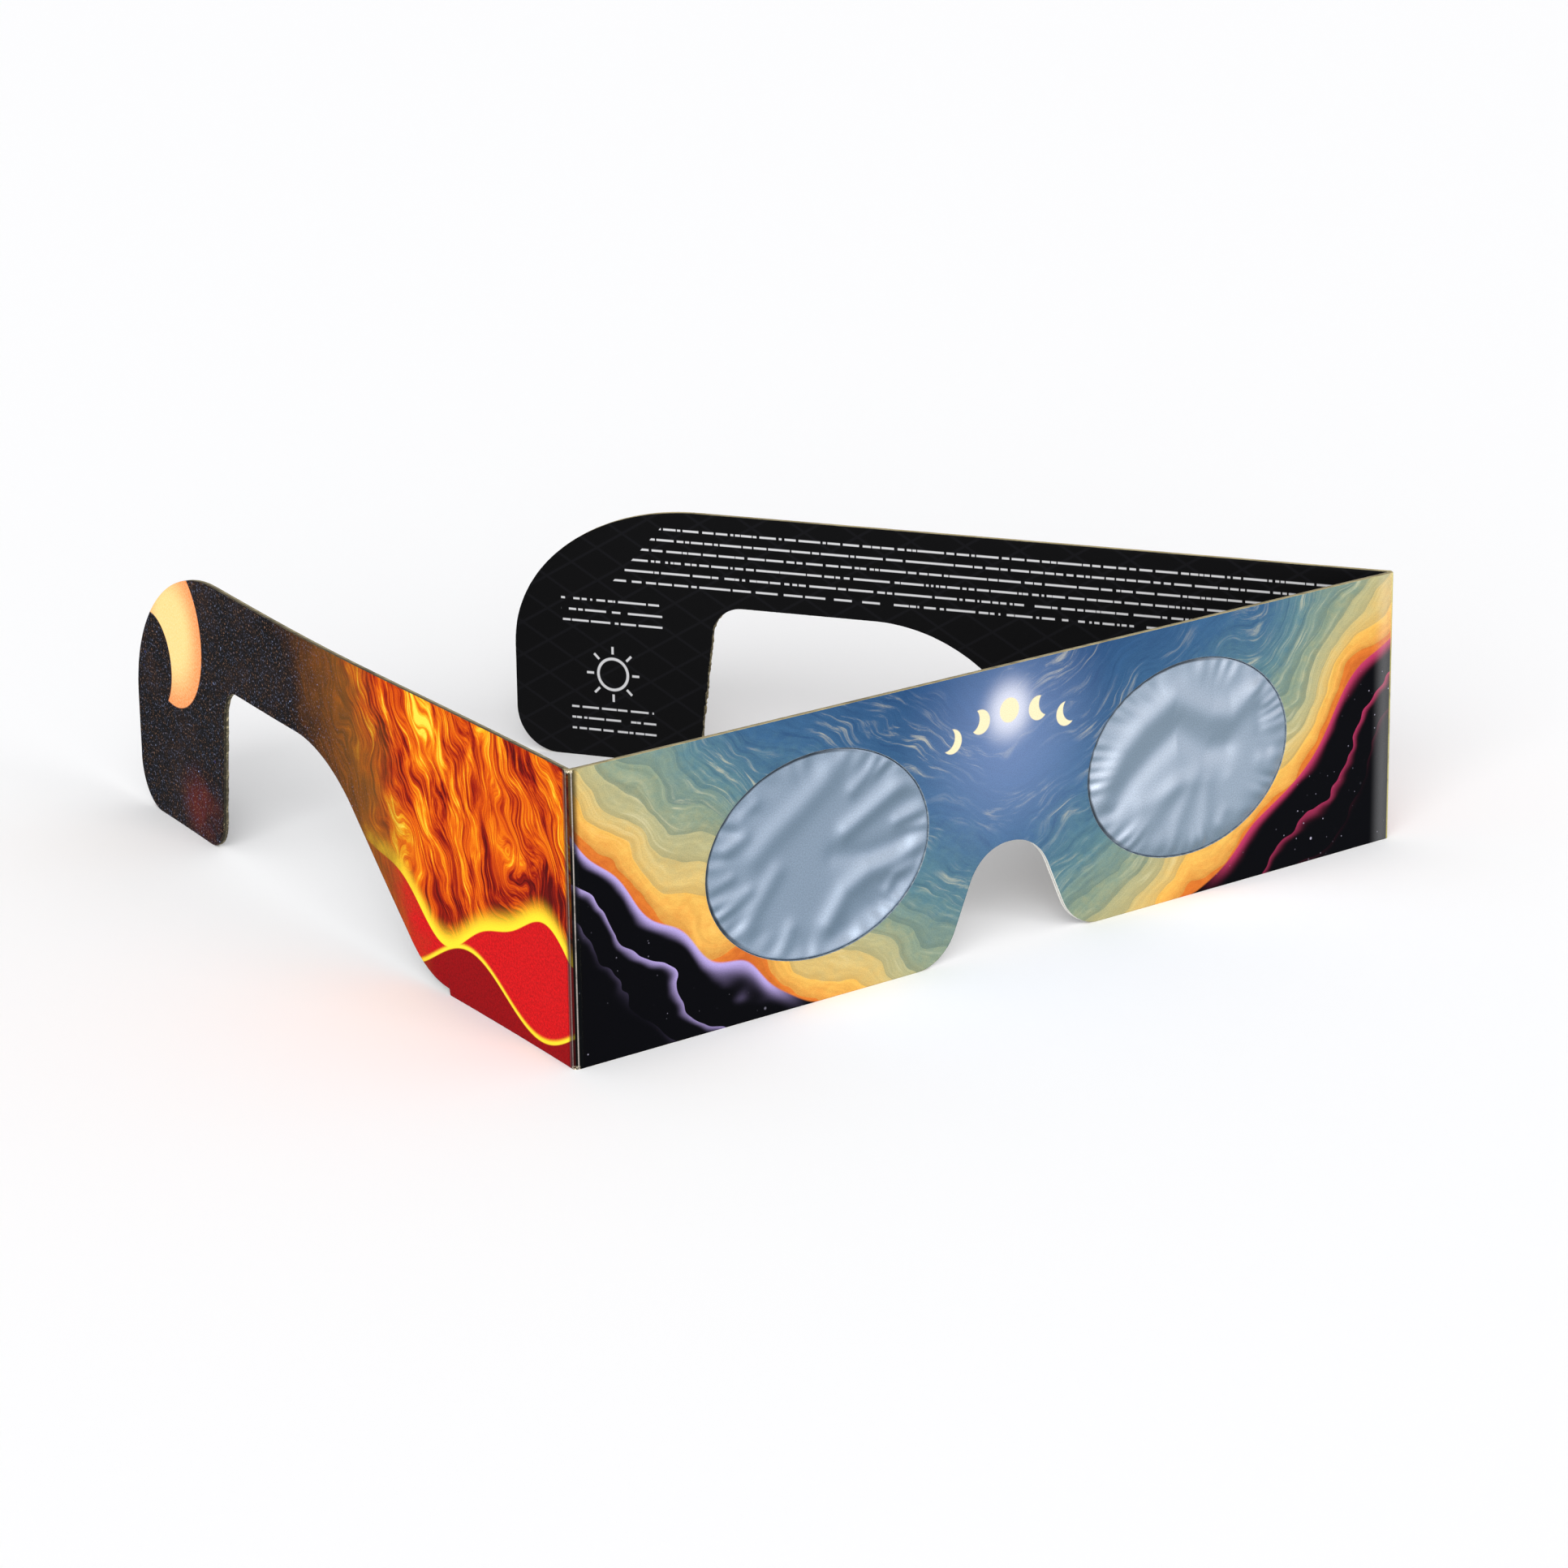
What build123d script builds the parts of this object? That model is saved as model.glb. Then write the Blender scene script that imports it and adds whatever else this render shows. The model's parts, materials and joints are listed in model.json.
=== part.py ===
from build123d import *
import os
from math import atan2, cos, radians, sin, tan

os.makedirs("parts", exist_ok=True)

# Card glasses for watching an eclipse, standing on their lower edges as after unfolding.
# X runs along the front, -Y is the side that faces the sun, +Z is up.
# The origin is the middle of the nose notch's mouth, on the printed face and at the foot.
# Left and right are as seen from the front. Lengths in millimetres, angles in degrees.

# The card: two plies with a glue line between them
front_width = 148.0            # from fold axis to fold axis
card_height = 40.5
ply_thickness = 0.38
glue_thickness = 0.08          # the filter films fill the same gap

# The folds between the front and the two temples
crease_half = 0.2              # from the fold axis to where each panel begins
fold_clearance = 0.15          # from the fold axis to the inner face of each panel
left_fold_angle = 81.0         # between the front and the temple, inside
right_fold_angle = 61.0

# The two oval viewing windows: the card left round them, and the films behind them
bridge_width = 29.2            # between the windows, over the nose
side_margin = 20.8             # from each fold to the window beside it
top_margin = 5.6
foot_margin = 6.3
film_lap = 2.6                 # film held between the plies, round each window
pocket_clearance = 0.3         # between a film and the glue round it

# The nose notch
notch_mouth_width = 24.0       # where its slanted sides would meet the foot line
notch_crown_width = 10.2       # where they would meet the crown line
notch_height = 15.3
notch_foot_radius = 7.6
crown_fill_share = 0.96        # of the crown line that its two round corners take up

# A temple, measured along the card from its fold axis
temple_length = 140.0
root_length = 34.0             # stretch of full height beside the fold
root_step = 0.9                # small nick where the underside starts to rise
rise_foot_flat = 0.2           # level stretch between the nick and the rise
rise_angle = 40.6              # slope of the rise
rise_foot_radius = 16.0
rise_top_radius = 28.0
arm_height = 14.5
hook_shoulder_width = 34.1     # of the ear hook at the arm's underside
hook_toe_width = 30.8          # of the ear hook at the foot line
hook_inner_radius = 5.0
hook_toe_radius = 5.0
hook_heel_radius = 5.5
tip_radius = 26.0              # the big round corner at the top rear
tip_limit_share = 0.72         # of the card's height that this corner may take

# Places that follow from the sizes above
card_thickness = 2 * ply_thickness + glue_thickness
fold_radius = card_thickness + fold_clearance
axis_depth = card_thickness + fold_clearance
half_front = front_width / 2
panel_end = half_front - crease_half
window_width = (front_width - bridge_width) / 2 - side_margin
window_height = card_height - top_margin - foot_margin
window_offset = (bridge_width + window_width) / 2
window_centre_height = foot_margin + window_height / 2
arm_underside = card_height - arm_height
rise_start = root_length + rise_foot_flat + rise_foot_radius * tan(radians(rise_angle) / 2)
rise_end = rise_start + (arm_underside - root_step) / tan(radians(rise_angle))
notch_turn = atan2(notch_height, (notch_mouth_width - notch_crown_width) / 2)
notch_crown_radius = crown_fill_share * notch_crown_width / 2 / tan(notch_turn / 2)
tip_corner_radius = min(tip_radius, tip_limit_share * card_height)

# Depth of each layer behind the printed face: where it starts and how thick it is
outer_ply = (0, ply_thickness)
glue_line = (ply_thickness, glue_thickness)
inner_ply = (ply_thickness + glue_thickness, ply_thickness)


def save(piece, name):
    """Labels a finished piece and writes it to its own file."""
    piece.part.label = name
    export_step(piece.part, f"parts/{name}.step")


def rounded_face(corners):
    """Fills an outline whose corners are given as (x, y, radius)."""
    with BuildLine() as outline:
        FilletPolyline(
            *[(x, y) for x, y, radius in corners],
            radius=[radius for x, y, radius in corners],
            close=True,
        )
    make_face(outline.edges())


# Outlines, flat as they are die-cut


def front_outline():
    """The front panel: a plain strip with the nose notch cut up from its lower edge."""
    mouth = notch_mouth_width / 2
    crown = notch_crown_width / 2
    rounded_face([
        (-panel_end, 0, 0),
        (-mouth, 0, notch_foot_radius),
        (-crown, notch_height, notch_crown_radius),
        (crown, notch_height, notch_crown_radius),
        (mouth, 0, notch_foot_radius),
        (panel_end, 0, 0),
        (panel_end, card_height, 0),
        (-panel_end, card_height, 0),
    ])


def temple_outline():
    """A temple: full height at the fold, a slim arm, and a hook that drops behind the ear."""
    rounded_face([
        (crease_half, 0, 0),
        (root_length, 0, 0),
        (root_length, root_step, 0),
        (rise_start, root_step, rise_foot_radius),
        (rise_end, arm_underside, rise_top_radius),
        (temple_length - hook_shoulder_width, arm_underside, hook_inner_radius),
        (temple_length - hook_toe_width, 0, hook_toe_radius),
        (temple_length, 0, hook_heel_radius),
        (temple_length, card_height, tip_corner_radius),
        (crease_half, card_height, 0),
    ])


def window_places(*sides):
    """The centres of the windows on the front panel; a side is -1 on the left and 1 on the right."""
    return Locations(*[(side * window_offset, window_centre_height) for side in sides])


def window_oval(margin, mode=Mode.ADD):
    """An oval that is larger than a window by this margin all round."""
    Ellipse(window_width / 2 + margin, window_height / 2 + margin, mode=mode)


# Planes that the layers are drawn on


def front_plane(depth):
    """The plane parallel to the front, this deep behind its printed face."""
    return Plane.XZ.offset(-depth)


def fold_axis(side):
    """The foot of a fold axis; side is -1 on the left and 1 on the right."""
    return Vector(side * half_front, axis_depth, 0)


def temple_direction(side, fold_angle):
    """The way a temple runs from its fold axis towards the ear."""
    angle = radians(fold_angle)
    return Vector(-side * cos(angle), sin(angle), 0)


def temple_outward(side, fold_angle):
    """The way a temple's printed face looks."""
    angle = radians(fold_angle)
    return Vector(side * sin(angle), cos(angle), 0)


def temple_plane(side, fold_angle, depth):
    """The plane of a temple, this deep behind its printed face, with X along the temple."""
    outward = temple_outward(side, fold_angle)
    return Plane(
        origin=fold_axis(side) + outward * (fold_radius - depth),
        x_dir=temple_direction(side, fold_angle),
        z_dir=outward * side,
    )


# The pieces


def front_ply(layer):
    """One ply of the front, with its two window openings."""
    start, thickness = layer
    with BuildPart() as ply:
        with BuildSketch(front_plane(start + thickness)):
            front_outline()
            with window_places(-1, 1):
                window_oval(0, Mode.SUBTRACT)
        extrude(amount=thickness)
    return ply


def front_glue(layer):
    """The glue between the front's plies, left open where the films lie."""
    start, thickness = layer
    with BuildPart() as glue:
        with BuildSketch(front_plane(start + thickness)):
            front_outline()
            with window_places(-1, 1):
                window_oval(film_lap + pocket_clearance, Mode.SUBTRACT)
        extrude(amount=thickness)
    return glue


def filter_film(side, layer):
    """One filter film, flat between the plies and a little larger than its window."""
    start, thickness = layer
    with BuildPart() as film:
        with BuildSketch(front_plane(start + thickness)):
            with window_places(side):
                window_oval(film_lap)
        extrude(amount=thickness)
    return film


def temple_layer(side, fold_angle, layer):
    """One layer of a temple: a ply, or the glue between the plies."""
    start, thickness = layer
    with BuildPart() as sheet:
        with BuildSketch(temple_plane(side, fold_angle, start + thickness)):
            temple_outline()
        extrude(amount=side * thickness)
    return sheet


def crease(side, fold_angle, layer):
    """The scored strip of one ply that bends round the fold, from panel end to panel end."""
    start, thickness = layer
    outer = fold_radius - start
    inner = outer - thickness
    axis = fold_axis(side)
    to_front = Vector(-side, 0, 0)
    to_temple = temple_direction(side, fold_angle)
    front_out = Vector(0, -1, 0)
    temple_out = temple_outward(side, fold_angle)
    corner_out = (front_out + temple_out).normalized()
    front_end = axis + to_front * crease_half
    temple_end = axis + to_temple * crease_half
    with BuildPart() as strip:
        with BuildSketch():
            with BuildLine():
                Line(front_end + front_out * inner, front_end + front_out * outer)
                Line(front_end + front_out * outer, axis + front_out * outer)
                ThreePointArc(
                    axis + front_out * outer,
                    axis + corner_out * outer,
                    axis + temple_out * outer,
                )
                Line(axis + temple_out * outer, temple_end + temple_out * outer)
                Line(temple_end + temple_out * outer, temple_end + temple_out * inner)
                Line(temple_end + temple_out * inner, axis + temple_out * inner)
                ThreePointArc(
                    axis + temple_out * inner,
                    axis + corner_out * inner,
                    axis + front_out * inner,
                )
                Line(axis + front_out * inner, front_end + front_out * inner)
            make_face()
        extrude(amount=card_height)
    return strip


# The front
save(front_ply(outer_ply), "front_outer_card")
save(front_glue(glue_line), "front_glue_layer")
save(front_ply(inner_ply), "front_inner_card")

# What there is one of on each side
sides = [("left", -1, left_fold_angle), ("right", 1, right_fold_angle)]

for name, side, fold_angle in sides:
    save(filter_film(side, glue_line), f"{name}_filter_film")
    save(crease(side, fold_angle, outer_ply), f"{name}_outer_crease")
    save(crease(side, fold_angle, inner_ply), f"{name}_inner_crease")
    save(temple_layer(side, fold_angle, outer_ply), f"{name}_temple_outer_card")
    save(temple_layer(side, fold_angle, glue_line), f"{name}_temple_glue_layer")
    save(temple_layer(side, fold_angle, inner_ply), f"{name}_temple_inner_card")
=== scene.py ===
import json
from math import atan2, cos, pi, radians, sin, tan
import bmesh
import bpy
import numpy as np
from mathutils import Matrix, Vector


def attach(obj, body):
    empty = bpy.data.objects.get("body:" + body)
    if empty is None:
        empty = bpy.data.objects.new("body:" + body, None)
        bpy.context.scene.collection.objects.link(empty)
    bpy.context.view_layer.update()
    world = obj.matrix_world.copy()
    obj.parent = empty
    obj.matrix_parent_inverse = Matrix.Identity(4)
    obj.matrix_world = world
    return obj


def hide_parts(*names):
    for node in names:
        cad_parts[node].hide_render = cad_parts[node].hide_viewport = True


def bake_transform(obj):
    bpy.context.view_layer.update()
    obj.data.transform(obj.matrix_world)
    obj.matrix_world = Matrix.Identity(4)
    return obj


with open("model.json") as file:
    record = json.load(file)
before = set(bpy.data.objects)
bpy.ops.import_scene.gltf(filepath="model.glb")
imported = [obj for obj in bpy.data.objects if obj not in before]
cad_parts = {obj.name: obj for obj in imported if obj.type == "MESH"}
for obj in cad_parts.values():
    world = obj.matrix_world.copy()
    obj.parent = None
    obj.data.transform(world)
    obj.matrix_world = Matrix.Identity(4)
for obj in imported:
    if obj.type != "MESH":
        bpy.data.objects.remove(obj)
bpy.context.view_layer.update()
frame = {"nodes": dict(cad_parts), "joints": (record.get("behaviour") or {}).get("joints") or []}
mm = 0.001          # everything below is in millimetres until it reaches a mesh
artSpan = 300.0     # millimetres that the whole UV square covers
print("stage: frame loaded,", len(frame["nodes"]), "nodes")

# The die-cut card. x or s runs along a panel, z up, depth from the printed face inwards
card = {
    "halfWidth": 74.0,
    "height": 40.5,
    "ply": 0.38,
    "glue": 0.08,
    "creaseHalf": 0.2,      # where each panel begins, from its fold axis
    "clearance": 0.15,      # from the fold axis to a panel's inner face
    "edgeRoll": 0.06,       # how far the blade rolled the face over at a cut
    "windowRoll": 1.2,      # times as much at the windows
    "scoreRound": 0.035,
    "scoreDepth": 0.05,
    "scoreReach": 0.07,
    "bendHalf": 0.85,       # along the card, from a panel's fold axis to the middle of the bend
    "step": 0.42,           # spacing of the points along an outline
    "warpHeight": 0.02,     # how far handling has bent the card
    "warpWaves": (95.0, 61.0, 37.0),
    "warpFade": 12.0,       # no warp at a fold, all of it this far from it
    "glueTrim": 0.05,       # how far the glue stays inside the outline
    "glueGap": 0.3,         # and outside the films
}
card["thickness"] = 2 * card["ply"] + card["glue"]
card["foldRadius"] = card["thickness"] + card["clearance"]
window = {"halfWidth": 19.3, "halfHeight": 14.3, "offset": 33.9, "centre": 20.6, "filmLap": 2.6,
          "rings": ((0.0, 0.94, 46), (0.94, 0.99, 12), (0.99, 1.0, 12))}      # from, to and how many
notch = {"halfMouth": 12.0, "halfCrown": 5.1, "height": 15.3, "footRadius": 7.6, "crownRadius": 7.58}
temple = {
    "length": 140.0,
    "root": 34.0,
    "rootStep": 0.9,
    "riseStart": 40.12,
    "riseEnd": 69.4,
    "riseRadii": (16.0, 28.0),
    "armUnderside": 26.0,
    "hookShoulder": 105.9,
    "hookToe": 109.2,
    "hookRadii": (5.0, 5.0, 7.0),
    "tipReach": (31.0, 23.0),   # along and down, of the big round corner at the tip
    "overHook": (104.0, 117.0, (135.5, 27.0)),   # what the shoulder, toe and heel face at the top
    "rearSplit": (8.0, 10.0),   # heights on the rear edge where the underside ends and the top starts
}
sides = {
    "left": {"sign": -1, "angle": radians(81.0), "bow": 1.3, "printLayer": 0.0, "scoreGap": 0.72},
    "right": {"sign": 1, "angle": radians(61.0), "bow": 0.0, "printLayer": 3.0, "scoreGap": 1.1},
}
for joint in frame["joints"]:
    sides[joint["name"].split("_")[0]]["axis"] = np.array(joint["pos_m"]) / mm

# A cut's fray: how deep, and its wavelengths in all rows together and in each row alone
cuts = {"front": 0.018, "temple": 0.022, "waves": (0.9, 1.3, 2.3, 3.7, 7.1),
        "rowWaves": (0.85, 1.1, 1.9), "rowShare": 0.35}
# The blade left the hook's inner side ragged, and a burr under the tip
hookFray = {"at": 107.5, "reach": 2.6, "top": 27.5, "depth": 0.26}
burr = {"at": 121.0, "reach": 0.8, "depth": 0.1}


# Shapes worked out on flat panels

def filletPath(corners, step):
    # straight runs between the corners, each corner replaced by a tangent arc of its own radius
    p = np.array([c[:2] for c in corners], float)
    parts = [p[:1]]
    for k in range(1, len(p) - 1):
        before = (p[k] - p[k - 1]) / np.hypot(*(p[k] - p[k - 1]))
        after = (p[k + 1] - p[k]) / np.hypot(*(p[k + 1] - p[k]))
        turn = atan2(before[0] * after[1] - before[1] * after[0], before @ after)
        radius = corners[k][2]
        if radius:
            aside = np.sign(turn) * np.array([-before[1], before[0]])
            start = p[k] - before * radius * tan(abs(turn) / 2)
            swing = np.linspace(0, abs(turn), max(4, int(2 * radius * abs(turn) / step)))[:, None]
            parts.append(start + radius * (before * np.sin(swing) + aside * (1 - np.cos(swing))))
        else:
            parts.append(p[k:k + 1])
    parts.append(p[-1:])
    return np.concatenate(parts)


def runLengths(path):
    # length along the path at each of its points
    return np.concatenate([[0], np.cumsum(np.hypot(*np.diff(path, axis=0).T))])


def pointsAt(path, lengths):
    # the points that lie these lengths along the path
    run = runLengths(path)
    return np.stack([np.interp(lengths, run, part) for part in path.T], 1)


def evenly(path, step):
    # the path again with even spacing, its last point left out
    total = runLengths(path)[-1]
    return pointsAt(path, np.linspace(0, total, max(2, round(total / step)) + 1)[:-1])


def easedRows(count, share):
    # row places from 0 to 1, with one extra row this close to each end
    return np.concatenate([[0, share], np.linspace(0, 1, count)[1:-1], [1 - share, 1]])


def gridQuads(rows, columns, closed=False):
    # the four corner numbers of each cell of a grid of points
    number = np.arange(rows * columns).reshape(rows, columns)
    if closed:
        number = np.concatenate([number, number[:, :1]], 1)
    return np.stack([number[:-1, :-1], number[:-1, 1:], number[1:, 1:], number[1:, :-1]],
                    -1).reshape(-1, 4)


def gridLoop(rows, columns):
    # the point numbers once round a grid
    number = np.arange(rows * columns).reshape(rows, columns)
    return np.concatenate([number[0, :-1], number[:-1, -1], number[-1, :0:-1], number[:0:-1, 0]])


def frontSheet(margin, trim):
    # each half is a fan from an oval window, grown by margin, to the outline, cut back by trim;
    # the halves are mirror images and meet at x = 0
    end, top, foot = card["halfWidth"] - card["creaseHalf"], card["height"] - trim, trim
    crown = notch["height"] + trim
    corners = [(end, foot), (end, top), (0, top), (0, crown)]
    legs = [filletPath([(0, crown, 0),
                        (notch["halfCrown"] + trim / 2, crown, notch["crownRadius"] + trim),
                        (notch["halfMouth"] + trim / 2, foot, notch["footRadius"] - trim),
                        (end, foot, 0)], card["step"])]
    legs += [np.array(leg, float) for leg in zip(corners[:-1], corners[1:])]
    parts = [evenly(leg, card["step"]) for leg in legs]
    outline = np.concatenate(parts)
    edgeCount = sum(len(p) for p in parts[:3]) + 1
    centre = np.array([window["offset"], window["centre"]])
    ray = outline - centre
    ray /= np.hypot(*ray.T)[:, None]
    halfWide, halfHigh = window["halfWidth"] + margin, window["halfHeight"] + margin
    rim = centre + ray / np.hypot(ray[:, 0] / halfWide, ray[:, 1] / halfHigh)[:, None]
    rows = easedRows(15, 0.03)[:, None, None]
    half = (rim + rows * (outline - rim)).reshape(-1, 2)
    around = len(outline)
    quads = gridQuads(len(rows), around, closed=True)
    points = np.concatenate([half, half * [-1, 1]])
    quads = np.concatenate([quads, quads[:, ::-1] + len(half)])
    rightEdge = (len(rows) - 1) * around + np.arange(edgeCount)
    leftEdge = rightEdge[1:-1][::-1] + len(half)
    windowRim = np.arange(around)
    loops = [(np.concatenate([rightEdge, leftEdge]), 1), (windowRim[::-1], 2),
             (windowRim + len(half), 2)]
    # the two halves share the points on x = 0
    first, which = np.unique(np.round(points, 5), axis=0, return_index=True,
                             return_inverse=True)[1:]
    which = which.ravel()
    return {"points": points[first], "quads": which[quads], "joins": [-end, end],
            "loops": [(which[loop], kind) for loop, kind in loops]}


def templeSheet(trim):
    # straight rows from the underside to the top edge; the pairs say which stretches face each other
    start, top, foot = card["creaseHalf"], card["height"] - trim, trim
    root, rear = temple["root"] - trim, temple["length"] - trim
    step, under = temple["rootStep"] + trim, temple["armUnderside"] + trim
    riseFoot, riseTop = temple["riseRadii"]
    inner, toe, heel = temple["hookRadii"]
    lowerEnd, upperEnd = temple["rearSplit"]
    lower = filletPath([
        (start, foot, 0), (root, foot, 0), (root, step, 0),
        (temple["riseStart"], step, riseFoot - trim), (temple["riseEnd"], under, riseTop + trim),
        (temple["hookShoulder"] + trim, under, inner), (temple["hookToe"] + trim, foot, toe - trim),
        (rear, foot, heel - trim), (rear, lowerEnd, 0)], card["step"])
    reach, drop = (far - trim for far in temple["tipReach"])
    swing = np.linspace(0, pi / 2, 90)
    corner = np.stack([rear - reach + reach * np.sin(swing), top - drop + drop * np.cos(swing)], 1)
    upper = np.concatenate([[(start, top)], corner, [(rear, upperEnd)]])

    def runNear(path, s, z):
        runs = np.linspace(0, runLengths(path)[-1], 4000)
        return runs[np.argmin(np.hypot(*(pointsAt(path, runs) - [s, z]).T))]

    overShoulder, overToe, overHeel = temple["overHook"]
    pairs = [((start, foot), (start, top)), ((temple["root"], foot), (temple["root"] + 2, top)),
             ((temple["riseEnd"], temple["armUnderside"]), (temple["riseEnd"], top)),
             ((temple["hookShoulder"] - 3, temple["armUnderside"]), (overShoulder, top)),
             ((temple["hookToe"] + 1, foot + 1), (overToe, top)), ((rear - 2, foot + 1), overHeel),
             ((rear, lowerEnd), (rear, upperEnd))]
    below = [runNear(lower, *a) for a, b in pairs]
    above = [runNear(upper, *b) for a, b in pairs]
    total = runLengths(lower)[-1]
    count = round(total / card["step"])
    marks = np.linspace(0, total, count)
    low = pointsAt(lower, marks)
    high = pointsAt(upper, np.interp(marks, below, above))
    rows = easedRows(20, 0.015)[:, None, None]
    points = (low + rows * (high - low)).reshape(-1, 2)
    return {"points": points, "quads": gridQuads(len(rows), count),
            "loops": [(gridLoop(len(rows), count), 1)], "joins": [start]}


def stripSheet(width, across, up):
    # a plain upright rectangle, for the bent strip at a fold
    t, z = np.meshgrid(np.linspace(0, width, across), np.linspace(0, card["height"], up))
    return {"points": np.stack([t.ravel(), z.ravel()], 1), "quads": gridQuads(up, across),
            "loops": [(gridLoop(up, across), 1)], "joins": [0.0, width]}


def ovalSheet(centre, lap, around):
    # rings about a middle point: shares of the window's oval up to its rim, then steps of lap
    angle = np.linspace(0, 2 * pi, around, endpoint=False)
    shares = np.concatenate([np.linspace(*part)[1:] for part in window["rings"]])
    wide, high = (np.concatenate([shares * half, half + lap])[:, None]
                  for half in (window["halfWidth"], window["halfHeight"]))
    rings = np.stack([centre[0] + wide * np.cos(angle), centre[1] + high * np.sin(angle)], 2)
    points = np.concatenate([[centre], rings.reshape(-1, 2)])
    first = 1 + np.arange(around)
    last = len(points) - around + np.arange(around)
    return {"points": points, "quads": 1 + gridQuads(len(wide), around, closed=True)[:, ::-1],
            "fan": np.stack([np.zeros(around, int), first, np.roll(first, -1)], 1),
            "loops": [(last, 1)]}


def wobble(run, waves, seed):
    # a smooth uneven line: a sum of sines of these wavelengths with seeded phases
    draw = np.random.default_rng(seed)
    phases = draw.uniform(0, 2 * pi, len(waves))
    shares = draw.uniform(0.6, 1.0, len(waves))
    return sum(share * np.sin(2 * pi * run / wave + phase)
               for wave, phase, share in zip(waves, phases, shares)) / len(waves)


def sheetToShell(name, sheet, near, far, place, roll, ragged, seed, facing):
    # both faces are the flat sheet at its near and far depths; at every loop a wall of a few rows
    # joins them, rounded by roll, moved in and out along the cut by ragged times an uneven line;
    # where the card runs on into the next piece, the wall is plain
    points = sheet["points"].copy()
    base = 2 * len(points)
    flats, depths, walls, wallKinds = [], [], [], []
    for order, (loop, kind) in enumerate(sheet["loops"]):
        edge = sheet["points"][loop]
        toJoin = np.abs(edge[:, :1] - np.array(sheet.get("joins", [1e6]))).min(1)
        cut = np.where(toJoin > 0.01, 1.0, 0.02)
        curl = cut * roll * (1 if kind == 1 else card["windowRoll"])
        corner = 0.3 * curl                  # 1 - cos 45 of the quarter round
        middle = np.full(len(loop), (near + far) / 2)
        profile = [(corner, near + corner), (0.0, near + curl), (0.0, middle), (0.0, far - curl),
                   (corner, far - corner)]
        along = np.roll(edge, -1, 0) - np.roll(edge, 1, 0)
        out = np.stack([along[:, 1], -along[:, 0]], 1) / np.hypot(*along.T)[:, None]
        run = np.cumsum(np.hypot(*(edge - np.roll(edge, 1, 0)).T))
        size = ragged(edge) * (cut == 1.0)
        uneven = size * wobble(run, cuts["waves"], seed + order)
        edge = edge + out * uneven[:, None]
        points[loop] = edge - out * curl[:, None]
        rowNumbers = [loop]
        for row, (inset, depth) in enumerate(profile):
            own = wobble(run, cuts["rowWaves"], seed + 31 * (row + 1) + order)
            fray = size * cuts["rowShare"] * own
            flats.append(edge + out * (fray - inset)[:, None])
            depths.append(depth)
            rowNumbers.append(base + np.arange(len(loop)))
            base += len(loop)
        rowNumbers.append(loop + len(points))
        for row, (a, b) in enumerate(zip(rowNumbers[:-1], rowNumbers[1:])):
            walls.append(np.stack([a, np.roll(a, -1), np.roll(b, -1), b], 1))
            rolled = row == (0 if facing == "near" else len(profile))
            wallKinds.append(np.full(len(loop), 0 if rolled and kind == 1 else kind))
    flats = np.concatenate([points, points] + flats)
    depths = np.concatenate([np.full(len(points), near), np.full(len(points), far)] + depths)
    front = 0 if facing == "near" else 1
    faces, kinds = [], []
    for part in (sheet["quads"], sheet.get("fan", np.empty((0, 3), int))):
        faces += part[:, ::-1].tolist() + (part + len(points)).tolist()
        kinds += [front] * len(part) + [1 - front] * len(part)
    faces += np.concatenate(walls).tolist()
    kinds += np.concatenate(wallKinds).tolist()
    return makePiece(name, place(flats, depths), faces, flats, np.array(kinds))


def makePiece(name, places, faces, flats, kinds):
    # puts the points into a mesh in metres, with the flat places as its UV map
    mesh = bpy.data.meshes.new(name)
    mesh.from_pydata((places * mm).tolist(), [], faces)
    mesh.validate()
    corners = np.empty(len(mesh.loops), np.int32)
    mesh.loops.foreach_get("vertex_index", corners)
    layer = mesh.uv_layers.new(name="art")
    uv = flats[corners] / artSpan + [0.5, 0.0]
    layer.data.foreach_set("uv", uv.astype(np.float32).ravel())
    mesh.polygons.foreach_set("material_index", kinds.astype(np.int32))
    mesh.polygons.foreach_set("use_smooth", np.ones(len(faces), bool))
    solid = bmesh.new()
    solid.from_mesh(mesh)
    bmesh.ops.recalc_face_normals(solid, faces=solid.faces[:])
    solid.to_mesh(mesh)
    solid.free()
    return added(name, mesh)


def added(name, data):
    # a new object in the scene
    made = bpy.data.objects.new(name, data)
    bpy.context.scene.collection.objects.link(made)
    return made


# Where a flat point of each panel lies in space

def handWarp(x, z, seed):
    # the slight unevenness of handled card: sines in seeded directions, the longest the highest
    draw = np.random.default_rng(seed)
    warp = 0
    for wave in card["warpWaves"]:
        direction, phase = draw.uniform(0, 2 * pi, 2)
        across = x * cos(direction) + z * sin(direction)
        height = card["warpHeight"] * wave / card["warpWaves"][0]
        warp = warp + height * np.sin(2 * pi * across / wave + phase)
    return warp


def frontPlace(flat, depth):
    # upright: y is the depth plus the warp, which fades out towards both folds
    x, z = flat.T
    fade = np.clip((card["halfWidth"] - np.abs(x)) / card["warpFade"], 0, 1)
    return np.stack([x, depth + fade * handWarp(x, z, 3), z], 1)


def templePlace(side):
    # fold axis + s along the temple + out square to it + z up, where out is foldRadius - depth plus
    # a bow, sine squared of s from root to tip, and the warp
    settings = sides[side]
    sign, angle, axis = settings["sign"], settings["angle"], settings["axis"]
    along = np.array([-sign * cos(angle), sin(angle), 0.0])
    outward = np.array([sign * sin(angle), cos(angle), 0.0])

    def place(flat, depth):
        s, z = flat.T
        share = np.clip(s / temple["length"], 0, 1)
        bow = settings["bow"] * np.sin(pi * share) ** 2
        warp = np.clip(s / card["warpFade"], 0, 1) * handWarp(s, z, 5 + sign)
        out = card["foldRadius"] - depth + bow + warp
        return axis + np.outer(s, along) + np.outer(out, outward) + np.outer(z, [0, 0, 1])
    return place


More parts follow.
